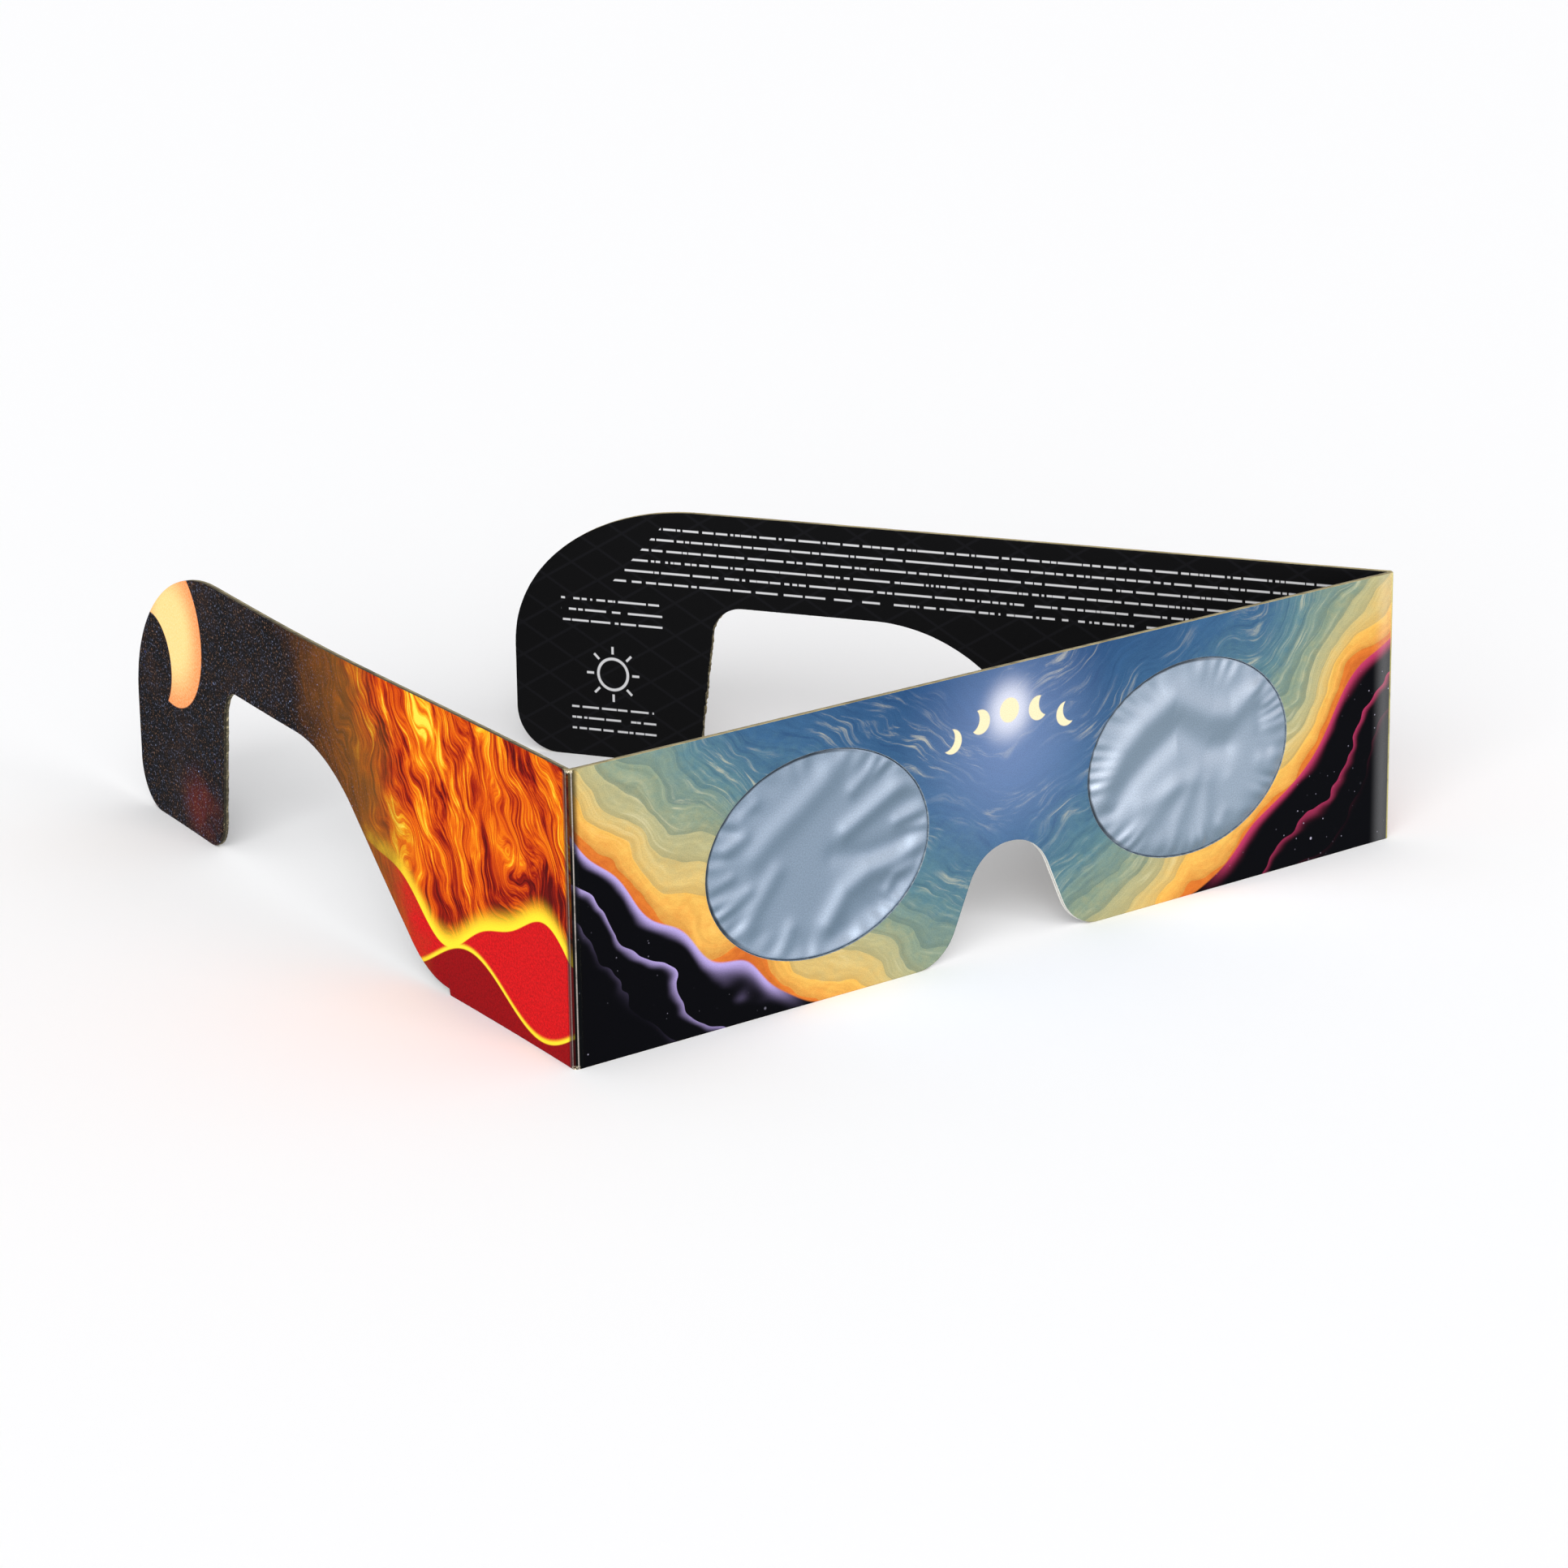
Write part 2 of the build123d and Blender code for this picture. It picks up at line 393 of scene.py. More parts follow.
def creasePlace(side):
    # t starts on the front, goes round the fold axis by the turn and ends on the temple; the bend
    # is three flat facets, r = distance / cos(angle to the facet), rounded where they meet, and
    # the two scored lines between them are pressed in a little
    settings = sides[side]
    sign, axis = settings["sign"], settings["axis"]
    turn = pi - settings["angle"]
    half, outside, soft = card["creaseHalf"], card["foldRadius"], card["scoreRound"]
    bent = outside * turn
    templeDirection = np.array([-sign * cos(settings["angle"]), sin(settings["angle"])])
    flatHalf = settings["scoreGap"] / 2      # half the way between the two scored lines
    cornerFar = outside / cos(turn / 2)
    middleFar = cornerFar - flatHalf * tan(turn / 2)
    score = turn / 2 - np.arctan2(flatHalf, middleFar)

    def place(flat, depth):
        t, z = flat.T
        around = np.clip((t - half) / bent, 0, 1)
        swing = around * turn
        off = np.minimum(swing, turn - swing)
        facets = np.stack([outside / np.cos(np.minimum(off, turn / 2)),
                           middleFar / np.cos(turn / 2 - off)])
        reach = -soft * np.log(np.exp(-facets / soft).sum(0))
        reach = np.where(facets[1] - facets[0] > 0.2, facets[0], reach)
        pressed = np.exp(-((off - score) * outside / card["scoreReach"]) ** 2)
        reach = reach - card["scoreDepth"] * pressed
        radius = (outside - depth) * reach / outside
        x = axis[0] + sign * radius * np.sin(swing)
        y = axis[1] - radius * np.cos(swing)
        before = np.clip(half - t, 0, None)
        after = np.clip(t - half - bent, 0, None)
        x = x - sign * before + after * templeDirection[0]
        y = y + after * templeDirection[1]
        return np.stack([x, y, z], 1)
    return place


# Node helpers

def linear(value):
    # a colour of three parts, as a screen shows it, made linear; any other value stays as it is
    if isinstance(value, tuple) and len(value) == 3:
        return tuple((v / 12.92 if v <= 0.04045 else ((v + 0.055) / 1.055) ** 2.4)
                     for v in (part / 255 for part in value)) + (1.0,)
    return value


def feed(socket, value):
    if isinstance(value, Wire):
        value.tree.links.new(value.socket, socket)
    else:
        socket.default_value = linear(value)


def newNode(tree, kind, inputs, **settings):
    node = tree.nodes.new("ShaderNode" + kind)
    for key, value in settings.items():
        setattr(node, key, value)
    for key, value in inputs.items():
        feed(node.inputs[key], value)
    return node


def wired(operation, swapped=False):
    # a method that feeds the wire and what it is given into one math node
    def method(self, *others):
        values = (*others, self) if swapped else (self, *others)
        return Wire(newNode(self.tree, "Math", dict(enumerate(values)), operation=operation).outputs[0])
    return method


class Wire:
    # a node's output that adds, multiplies and so on like a number
    def __init__(self, socket):
        self.tree, self.socket = socket.id_data, socket

    __add__ = __radd__ = wired("ADD")
    __sub__ = wired("SUBTRACT")
    __rsub__ = wired("SUBTRACT", swapped=True)
    __mul__ = __rmul__ = wired("MULTIPLY")
    __truediv__ = wired("DIVIDE")
    __pow__ = wired("POWER")
    abs = wired("ABSOLUTE")
    sine = wired("SINE")
    most = wired("MAXIMUM")
    least = wired("MINIMUM")
    fraction = wired("FRACT")
    floor = wired("FLOOR")
    direction = wired("ARCTAN2")        # the angle of a place: this wire up, the other across

    def rise(self, low, high):
        # 0 below low, 1 above high, smooth between; high may be the lower one
        node = newNode(self.tree, "MapRange", {"Value": self, "From Min": low, "From Max": high},
                       interpolation_type="SMOOTHSTEP", clamp=True)
        return Wire(node.outputs["Result"])


def newSurface(name, paint, *given):
    # paint sets the shader up and gives back its colour
    material = bpy.data.materials.new(name)
    material.use_nodes = True
    shader = material.node_tree.nodes["Principled BSDF"]
    feed(shader.inputs["Base Color"], paint(shader, *given))
    return material


def parted(socket, kind="XYZ"):
    # the three numbers of a place, or with kind "Color" of a colour
    node = newNode(socket.id_data, "Separate" + kind, {0: Wire(socket)})
    return [Wire(part) for part in node.outputs]


def flatPlace(shader):
    # the panel's own millimetres, from its UV map
    x, z = parted(newNode(shader.id_data, "UVMap", {}, uv_map="art").outputs[0])[:2]
    return (x - 0.5) * artSpan, z * artSpan


def solidPlace(shader):
    # the object's own millimetres
    return [part / mm for part in parted(newNode(shader.id_data, "TexCoord", {}).outputs["Object"])]


def joined(x, y, z):
    return Wire(newNode(x.tree, "CombineXYZ", {0: x, 1: y, 2: z}).outputs[0])


def noise(x, y, layer=0.0, detail=3.0, roughness=0.5, distortion=0.0):
    # cloudy noise, 0 to 1, on places already scaled so that one unit is one blob
    node = newNode(x.tree, "TexNoise", {"Vector": joined(x, y, layer), "Scale": 1.0, "Detail": detail,
                                        "Roughness": roughness, "Distortion": distortion})
    return Wire(node.outputs["Fac"])


def starField(x, z, spacing, size, layer):
    # one dot in each cell of a voronoi grid, its brightness drawn by the cell
    node = newNode(x.tree, "TexVoronoi", {"Vector": joined(x / spacing, z / spacing, layer),
                                          "Scale": 1.0})
    drawn = parted(node.outputs["Color"], "Color")[0]
    return Wire(node.outputs["Distance"]).rise(size / spacing, 0.3 * size / spacing) * (drawn ** 3.0)


def mixed(factor, a, b, blend="MIX"):
    # colour a, with this share of colour b over it; one of the three is a wire
    tree = next(value.tree for value in (factor, a, b) if isinstance(value, Wire))
    return Wire(newNode(tree, "Mix", {0: factor, 6: a, 7: b}, data_type="RGBA",
                        blend_type=blend).outputs[2])


def ramp(factor, stops):
    # stops are (place from 0 to 1, colour)
    node = newNode(factor.tree, "ValToRGB", {0: factor})
    elements = node.color_ramp.elements
    while len(elements) < len(stops):
        elements.new(0.5)
    for element, (place, colour) in zip(elements, stops):
        element.position = place
        element.color = linear(colour)
    return Wire(node.outputs[0])


def scaled(colour, share):
    # a darker or lighter tone of a colour
    return tuple(min(255, part * share) for part in colour)


def roundAt(x, z, centre):
    # distance from a centre
    dx, dz = x - centre[0], z - centre[1]
    return (dx * dx + dz * dz) ** 0.5


def bumped(shader, height, depth):
    # height from 0 to 1 stands depth millimetres proud
    node = newNode(height.tree, "Bump", {"Strength": 1.0, "Distance": depth * mm, "Height": height})
    feed(shader.inputs["Normal"], Wire(node.outputs[0]))


def matt(shader, roughness, gloss):
    shader.inputs["Roughness"].default_value = roughness
    shader.inputs["Specular IOR Level"].default_value = gloss


# The print on the front: cut-paper waves that climb to both sides, under a brushed sky
frontArt = {
    "skyStops": [(0.0, (190, 78, 36)), (0.055, (228, 128, 48)), (0.12, (244, 190, 92)),
                 (0.21, (204, 190, 132)), (0.33, (140, 158, 136)), (0.48, (96, 134, 144)),
                 (0.70, (62, 102, 140)), (1.0, (44, 81, 126))],
    "level": (211, 211, 211),
    "skySpan": 44.0,            # from the wave line up to the deepest blue
    "waveStart": 35.0,          # from the middle to where the dark waves leave the foot
    "waveRun": 37.0,
    "waveHeight": 30.0,
    "wavePower": 1.3,
    "band": 3.1,                # height of one paper layer
    "bandFade": (27.0, 15.0),   # no layers above the first height, whole ones below the second
    "wisp": (226, 216, 178),
    "deep": (40, 72, 122),
    "glow": (134, 158, 204),
    "glowCentre": (0.0, 30.0),
    "glowReach": 22.0,
    "halo": (238, 240, 255),
    "haloCentre": (0.0, 34.1),
    "haloReach": 7.5,
    "night": (6, 5, 9),
    "leftCrest": (200, 180, 244),
    "rightCrest": (206, 60, 108),
    "crestPitch": 6.5,          # from one dark wave down to the next
    "star": (230, 225, 250),
    "sun": (255, 240, 196),
    "sunRadius": 1.75,
    # each sun's place, and how far off the moon stands before it
    "phases": [(-10.4, 31.6, (-1.25, 0.55)), (-5.3, 33.4, (-1.9, 0.5)), (0.0, 34.1, (9.0, 9.0)),
               (5.3, 33.4, (1.9, 0.5)), (10.4, 31.6, (1.25, 0.55))],
}


def frontColour(x, z):
    art = frontArt
    outer = (x * x + 60.0) ** 0.5 - 0.6      # |x|, rounded off in the middle
    # wave line: height times ((|x| - start) / run) to the power, with two slow ripples on it
    climb = ((outer - art["waveStart"]) / art["waveRun"]).most(0.0) ** art["wavePower"]
    ripple = (x * 0.21 + z * 0.12).sine() * 1.7 + (x * 0.43 - z * 0.2 + 1.0).sine() * 0.8
    above = (z - climb * art["waveHeight"] + ripple * climb.rise(0.0, 0.25)) * 0.8
    above = above + (art["waveStart"] - outer).most(0.0) * 0.55 + 2.0
    # paper layers: the height in steps, each step darker at its lower edge
    drift = noise(x / 13.0, z / 8.0, 4.0, 2.0) - 0.5
    swell = above + drift * 6.0 + (x * 0.33 + z * 0.1).sine() * 0.7
    place = swell / art["band"]
    layered = swell.rise(*art["bandFade"])
    stepped = (place.floor() + 0.5) * art["band"]
    mottle = noise(x / 1.5, z / 1.2, 3.0, 5.0, 0.66) - 0.5
    height = swell + (stepped - swell) * layered * 0.55 + mottle * (above.rise(8.0, 22.0) * 6.0 + 2.6)
    sky = ramp(height / art["skySpan"], art["skyStops"])
    shade = 1.0 - (0.15 * place.fraction().rise(0.5, 0.0)) * layered
    sky = mixed(1.0, sky, shade, "MULTIPLY")
    # brushed wisps that follow the layers
    fibre = noise(x / 8.0 + swell * 0.12, swell / 0.9, 9.0, 7.0, 0.66, 0.5)
    banks = noise(x / 14.0, z / 9.0, 2.0, 2.0)
    sky = mixed(1.0, sky, (fibre - 0.5) * 0.7 + 1.0, "MULTIPLY")
    wisp = fibre.rise(0.5, 0.74) * banks.rise(0.42, 0.62) * above.rise(3.0, 12.0)
    sky = mixed(wisp * 0.72, sky, art["wisp"])
    deep = fibre.rise(0.46, 0.26) * above.rise(14.0, 26.0)
    sky = mixed(deep * 0.45, sky, art["deep"])
    # a lavender lightening in the middle, and a row of sun phases over the nose
    glow = roundAt(x, z, art["glowCentre"]).rise(art["glowReach"], 0.0)
    sky = mixed(glow * 0.62, sky, art["glow"])
    radius = art["sunRadius"]
    halo = roundAt(x, z, art["haloCentre"]).rise(art["haloReach"], 1.5)
    sky = mixed(halo * halo * 0.8, sky, art["halo"])
    for sunX, sunZ, bite in art["phases"]:
        disc = roundAt(x, z, (sunX, sunZ)).rise(radius + 0.09, radius - 0.09)
        moon = roundAt(x, z, (sunX + bite[0], sunZ + bite[1])).rise(radius - 0.05, radius + 0.13)
        sky = mixed(disc * moon, sky, art["sun"])
    # night below the wave line: dark waves, each with a lit crest
    below = (above * -1.0 + 2.0).most(0.0)
    crest = mixed(x.rise(-1.0, 1.0), art["leftCrest"], art["rightCrest"])
    turn = (below / art["crestPitch"] + drift * 1.6 * below.rise(0.0, 5.0)).fraction()
    lit = turn.rise(0.34, 0.0) * below.rise(17.0, 2.0) * outer.rise(35.0, 44.0)
    night = mixed(lit * lit * 0.9, art["night"], crest)
    stars = starField(x, z, 1.3, 0.15, 1.0) + starField(x, z, 4.2, 0.28, 5.0)
    night = mixed(stars.least(1.0) * 0.8, night, art["star"])
    return mixed(1.0, mixed(above.rise(2.2, 1.9), sky, night), art["level"], "MULTIPLY")


# Painted shade at the folds: how far from the middle of the bend the print is darkest and plain again,
# and which share of the colour the painted shade takes away there
paintedFoldShade = {"left": (0.45, 1.6, 0.9), "right": (0.1, 0.7, 0.45)}
# the painted sheen beside the right fold: its grey, and where it fades in and where out
dustAndSheen = {"colour": (82, 82, 83), "inwards": (70.6, 73.2), "outwards": (74.7, 73.5)}


def foldShade(off, side):
    # painted shade: darker towards the middle of the bend, plain from there on
    darkest, plain, shadedShare = paintedFoldShade[side]
    return off.rise(darkest, plain) * shadedShare + (1.0 - shadedShare)


def paintedSheenBand(colour, x):
    # painted sheen: a grey highlight screened over the print beside the right fold
    band = x.rise(*dustAndSheen["inwards"]) * (x.rise(*dustAndSheen["outwards"]) * 0.5 + 0.5)
    return mixed(band * 0.8, colour, dustAndSheen["colour"], "SCREEN")


def frontPrint(shader):
    x, z = flatPlace(shader)
    printFinish(shader, x, z)
    # painted shade darkens the print towards the left fold
    shade = foldShade(x + card["halfWidth"] + card["bendHalf"], "left")
    # a painted sheen lightens the print beside the right fold
    colour = paintedSheenBand(mixed(1.0, frontColour(x, z), shade, "MULTIPLY"), x)
    return printGrain(colour, x, z, 0.12)


def printGrain(colour, x, z, strength):
    # the print's own fine grain, overlaid in grey
    grain = noise(x * 6.5, z * 6.5, 0.0, 2.0, 0.75).rise(0.3, 0.7)
    return mixed(strength, colour, grain, "OVERLAY")


def printFinish(shader, x, z, gloss=0.05):
    # gloss print on card: soft sheen, fine fibre, a few long rub marks
    fibre = noise(x * 5.0, z * 4.0, 3.0, 4.0, 0.65)
    rub = noise(x / 16.0, z / 3.0, 8.0, 3.0)
    feed(shader.inputs["Roughness"], fibre * 0.12 + rub * 0.1 + 0.3)
    shader.inputs["Specular IOR Level"].default_value = gloss
    bumped(shader, fibre, 0.010)


# The print on the temples: fiery fibres over rolling red waves by the fold, then a night sky
templeArt = {
    "fireStops": [(0.0, (84, 8, 6)), (0.22, (150, 26, 6)), (0.45, (206, 76, 4)),
                  (0.64, (226, 110, 8)), (0.82, (238, 164, 22)), (1.0, (248, 216, 70))],
    "red": (212, 22, 26),
    "deepRed": (150, 10, 16),
    "edge": (255, 220, 50),
    "smoke": ((104, 66, 26), (150, 84, 22)),
    "night": (9, 7, 8),
    "dustAndSheen": (40, 27, 24),
    "ember": (92, 28, 22),
    "emberCentre": (116.5, 5.0),
    "specks": ((146, 154, 186), (172, 132, 108)),
    "star": (176, 196, 250),
    "blueStar": (56, 104, 226),
    "fadeFrom": 47.0,
    "fadeTo": 79.0,
    "crescent": (125.8, 30.0),
    "crescentRadius": 11.6,
    "bite": (134.0, 23.6),
    "biteRadius": 7.6,
    "sun": ((255, 206, 128), (244, 128, 56), (255, 234, 184)),     # middle, rim and grains
}


def templeColour(s, z, layer):
    # the places are bent first, so that the fibres swirl; a runs along them and b across
    art = templeArt
    a, b = s * 0.5 + z * 0.87, z * 0.5 - s * 0.87
    a = a + (noise(s / 17.0, z / 17.0, layer + 1.0, 2.0) - 0.5) * 22.0
    b = b + (noise(s / 14.0, z / 14.0, layer + 7.0, 2.0) - 0.5) * 18.0
    fibres = noise(a / 6.5, b / 0.75, layer + 2.0, 5.0, 0.68)
    broad = noise(a / 15.0, b / 6.0, layer + 3.0, 3.0)
    heat = (fibres - 0.5) * 2.3 + (broad - 0.5) * 2.3 + 0.42
    colour = ramp(heat, art["fireStops"])
    # two rolling waves low on the root, the nearer one deeper, each below a burning edge
    grains = noise(s * 2.6, z * 2.6, layer + 5.0, 3.0, 0.75)
    far = (s * 0.125 + layer * 0.7 + 0.5).sine() * 4.6 + (s * 0.31).sine() * 1.1 + 12.5
    near = (s * 0.16 + layer * 0.5 + 3.4).sine() * 3.4 + 4.6
    for line, body, glowHeight in ((far, art["red"], 4.6), (near, art["deepRed"], 1.1)):
        over = z - line
        halo = over.rise(glowHeight, 0.3)
        colour = mixed(halo * halo, colour, art["edge"])
        wave = mixed(grains.rise(0.36, 0.66) * 0.7, body, scaled(body, 0.72))
        colour = mixed(over.rise(0.12, -0.12), colour, wave)
    # smoke, then the night: dust, dense fine specks and a few larger stars
    cloud = noise(s / 12.0, z / 9.0, layer + 8.0, 6.0, 0.62)
    away = s + (cloud - 0.5) * 24.0 - (z - 20.0) * 0.35
    smoke = mixed(fibres.rise(0.35, 0.7), *art["smoke"])
    colour = mixed(away.rise(art["fadeFrom"] - 6.0, art["fadeFrom"] + 12.0), colour, smoke)
    night = mixed(cloud.rise(0.42, 0.75) * 0.7, art["night"], art["dustAndSheen"])
    emberAt, emberHigh = art["emberCentre"]
    ember = roundAt(s, (z - emberHigh) * 1.2, (emberAt, 0.0)).rise(10.0, 1.0) * cloud.rise(0.3, 0.6)
    night = mixed(ember * 0.8, night, art["ember"])
    speckle = noise(s * 2.7, z * 2.7, layer + 11.0, 2.0, 0.8).rise(0.54, 0.76)
    hue = mixed(noise(s / 1.6, z / 1.6, layer, 2.0).rise(0.45, 0.55), *art["specks"])
    night = mixed(speckle * 0.8, night, hue)
    stars = starField(s, z, 1.4, 0.15, layer + 2.0) + starField(s, z, 7.5, 0.3, layer + 4.0)
    night = mixed(stars.least(1.0), night, art["star"])
    night = mixed(starField(s, z, 6.0, 0.42, layer + 6.0).least(1.0), night, art["blueStar"])
    colour = mixed(away.rise(art["fadeFrom"] + 6.0, art["fadeTo"]), colour, night)
    # a plain crescent sun at the tip: a disc, and a smaller one bitten out of it
    radius, bitten = art["crescentRadius"], art["biteRadius"]
    off = roundAt(s, z, art["crescent"])
    shape = off.rise(radius + 0.12, radius - 0.12) * roundAt(s, z, art["bite"]).rise(
        bitten - 0.15, bitten + 0.15)
    middle, rimTone, bright = art["sun"]
    sun = mixed(off.rise(radius - 7.0, radius), middle, rimTone)
    sun = mixed(grains.rise(0.3, 0.7) * 0.35, sun, bright)
    return mixed(shape, colour, sun)


def templePrint(shader, side):
    s, z = flatPlace(shader)
    printFinish(shader, s, z, gloss=0.012)
    # painted shade darkens the print towards the fold
    shade = foldShade(s + card["bendHalf"], side)
    colour = mixed(1.0, templeColour(s, z, sides[side]["printLayer"]), shade, "MULTIPLY")
    return printGrain(colour, s, z, 0.2)


# The black inside, bare but for plain bars on one temple
insideArt = {
    "black": (11, 11, 12),
    "lozenge": (21, 21, 24),
    "bar": (188, 188, 190),
    "rowPitch": 1.75,
    "barHeight": 0.3,
    # the bars fill the arm, in front of a slanted end, and two blocks on the hook: from, to, low, high
    "arm": (5.0, 500.0, 27.4, 38.9),
    "armEnd": 124.6,
    "blocks": ((114.8, 132.0, 20.4, 25.7), (116.2, 130.6, 3.3, 8.7)),
    "iconCentre": (123.4, 13.6),
    "iconRadius": 2.5,
    "rays": (3.2, 4.5, 8),      # from, to and how many
}


def blackFace(shader, bars=False):
    look = insideArt
    x, z = flatPlace(shader)
    printFinish(shader, x, z)
    # faint lozenges: two slanted sets of lines
    one = ((x * 0.6 + z) / 5.2).fraction() - 0.5
    two = ((x * 0.6 - z) / 5.2).fraction() - 0.5
    lines = one.abs().rise(0.44, 0.47).most(two.abs().rise(0.44, 0.47))
    colour = mixed(lines * 0.6, look["black"], look["lozenge"])
    if bars:
        def filled(start, end, low, high):
            # 1 inside a rectangle
            return (x.rise(start, start + 0.1) * x.rise(end, end - 0.1)
                    * z.rise(low, low + 0.1) * z.rise(high, high - 0.1))

        pitch, half = look["rowPitch"], look["barHeight"] / 2
        row = (z / pitch).floor()
        middle = ((z / pitch).fraction() - 0.5).abs() * pitch
        words = noise(x / 0.8 + row * 7.3, row * 3.1, 0.0, 0.0)
        bar = middle.rise(half + 0.08, half - 0.06) * words.rise(0.39, 0.41)
        area = filled(*look["arm"]) * (x + (z - 27.0) * 0.9).rise(look["armEnd"], look["armEnd"] - 0.1)
        for corners in look["blocks"]:
            area = area.most(filled(*corners))
        colour = mixed(bar * area, colour, look["bar"])
        # a plain sun: a ring with short rays
        centre, (start, end, count) = look["iconCentre"], look["rays"]
        far = roundAt(x, z, centre)
        ring = (far - look["iconRadius"]).abs().rise(0.28, 0.16)
        angle = (z - centre[1]).direction(x - centre[0])
        spoke = ((angle * (count / (2 * pi)) + 0.5).fraction() - 0.5).abs() * far * (2 * pi / count)
        rays = spoke.rise(0.24, 0.14) * far.rise(start, start + 0.1) * far.rise(end, end - 0.1)
        colour = mixed(ring.most(rays), colour, look["bar"])
    return colour


# Cut card: tan fibre, greyer in the black ply, and darker along the left temple's print;
# pale, middle and dark tones
coreLook = {
    "printed_core": ((186, 172, 130), (146, 132, 92), (74, 66, 48)),
    "dark_core": ((98, 90, 70), (64, 58, 45), (32, 29, 24)),
    "black_core": ((158, 148, 118), (124, 115, 90), (58, 53, 42)),
}
# pale bare card, lightened further by painted light, for the nose notch
litBareCard = (214, 213, 208)


def rawCore(shader, look):
    pale, middle, dark = look
    x, y, z = solidPlace(shader)
    threads = noise(x * 1.1 + y * 0.9, z * 1.3, 0.0, 5.0, 0.7)
    patches = noise(x / 5.0 + y / 7.0, z / 6.0, 4.0, 3.0)
    colour = mixed(threads.rise(0.3, 0.7), middle, pale)
    colour = mixed(patches.rise(0.5, 0.75) * 0.75, colour, dark)
    # inked and torn along the hook's inner edge, with pale specks
    s, height = flatPlace(shader)
    torn = (s - hookFray["at"]).abs().rise(5.0, 2.5) * height.rise(27.4, 25.6)
    flecks = noise(x * 2.4 + y * 2.4, height * 1.3, 7.0, 4.0, 0.75)
    colour = mixed(torn * flecks.rise(0.6, 0.5) * 0.9, colour, dark)
    # the nose notch is cut through bare card, without ink, and made paler still with painted light, as
    # the cut there faces the light
    notchPaleAndLit = x.abs().rise(15.0, 14.0) * z.rise(17.0, 16.0) * y.rise(3.0, 2.0)
    matt(shader, 0.85, 0.2)
    bumped(shader, threads, 0.05)
    return mixed(notchPaleAndLit * 0.9, colour, litBareCard)


def windowEdge(shader):
    # the cut round a window: ink turned over the fibre, darkened to grey-blue by painted shade
    x, z = flatPlace(shader)
    threads = noise(x * 1.4, z * 1.4, 1.0, 4.0, 0.7)
    matt(shader, 0.7, 0.15)
    bumped(shader, threads, 0.03)
    return mixed(threads.rise(0.35, 0.75), (84, 98, 112), (136, 144, 148))


def glueLine(shader):
    x, y, z = solidPlace(shader)
    lumps = noise(x * 0.8 + y * 0.6, z, 0.0, 3.0)
    matt(shader, 0.5, 0.5)
    bumped(shader, lumps, 0.03)
    return mixed(lumps, (24, 22, 18), (62, 54, 40))


# The bent strips: the print runs on, darkened by painted shade in the bend, rubbed pale along the two
# scored lines
creaseLook = {"left": (152, 144, 138), "right": (186, 178, 112), "ends": (206, 194, 166),
              "lineReach": {"left": 0.12, "right": 0.34}}


def creasePrint(shader, width, side):
    # both panels' prints run on to the middle of the bend
    t, z = flatPlace(shader)
    sign, layer = sides[side]["sign"], sides[side]["printLayer"]
    share = t / width
    x = (t + card["halfWidth"] - card["creaseHalf"]) * sign
    # the front's print, with the painted sheen beside the right fold
    front = paintedSheenBand(frontColour(x, z), x)
    beside = templeColour(t + (card["creaseHalf"] - width), z, layer)
    off = (share - 0.5).abs() * width      # from the middle of the bend
    colour = mixed(share.rise(0.47, 0.53), front, beside)
    # painted shade darkens the print in the bend
    colour = mixed(1.0, colour, foldShade(off, side), "MULTIPLY")
    # rubbed lines, the one next to the front brighter; specks of bare card at both ends
    uneven = noise(t / 2.0, z / 2.2, 1.0, 4.0, 0.65)
    specks = noise(t * 2.6, z * 2.6, 6.0, 3.0, 0.7)
    line = (off - sides[side]["scoreGap"] / 2).abs().rise(creaseLook["lineReach"][side], 0.03)
    worn = line * uneven.rise(0.15, 0.5) * (share.rise(0.6, 0.4) * 0.4 + 0.4)
    ends = (z - card["height"] / 2).abs().rise(card["height"] / 2 - 0.6, card["height"] / 2 - 0.1)
    tips = ends * specks.rise(0.45, 0.55) * off.rise(0.65, 0.4)
    colour = mixed(worn, colour, creaseLook[side])
    colour = mixed(tips, colour, creaseLook["ends"])
    feed(shader.inputs["Roughness"], worn * 0.35 + 0.34)
    shader.inputs["Specular IOR Level"].default_value = 0.1
    bumped(shader, uneven, 0.03)
    return printGrain(colour, t, z, 0.2)


# The film: metallised, silver towards the sun and gold towards the eye
# painted shade: the left film's silver is a darker copy of the right film's
filmLook = {"left": (190, 203, 219), "right": (207, 217, 230), "gold": (190, 148, 72),
            "roughness": 0.37}


def filmFace(shader, colour):
    x, z = flatPlace(shader)
    grain = noise(x * 5.5, z * 5.5, 2.0, 2.0, 0.8)
    broad = noise(x / 6.0, z / 6.0, 5.0, 3.0)
    pale = mixed(grain.rise(0.25, 0.75), scaled(colour, 0.92), scaled(colour, 1.08))
    pale = mixed(broad * 0.2, pale, scaled(colour, 0.82))
    # painted shadow: the film darkened near the rim on the side that looks away from the light, where
    # it lies in the gap under the card
    wide = window["halfWidth"]
    px, pz = x.abs() - window["offset"], z - window["centre"]
    reach = roundAt(px / wide, pz / window["halfHeight"], (0.0, 0.0))
    towards = (x - (x * 1000.0).most(-1.0).least(1.0) * window["offset"]) * -0.8 + pz * 0.6
    paintedRimShadow = reach.rise(0.955, 0.977) * (towards / wide).rise(0.0, 0.5)
    shader.inputs["Metallic"].default_value = 1.0
    feed(shader.inputs["Roughness"], grain * 0.12 + filmLook["roughness"])
    bumped(shader, grain, 0.011)
    return mixed(paintedRimShadow * 0.85, pale, (24, 30, 36))
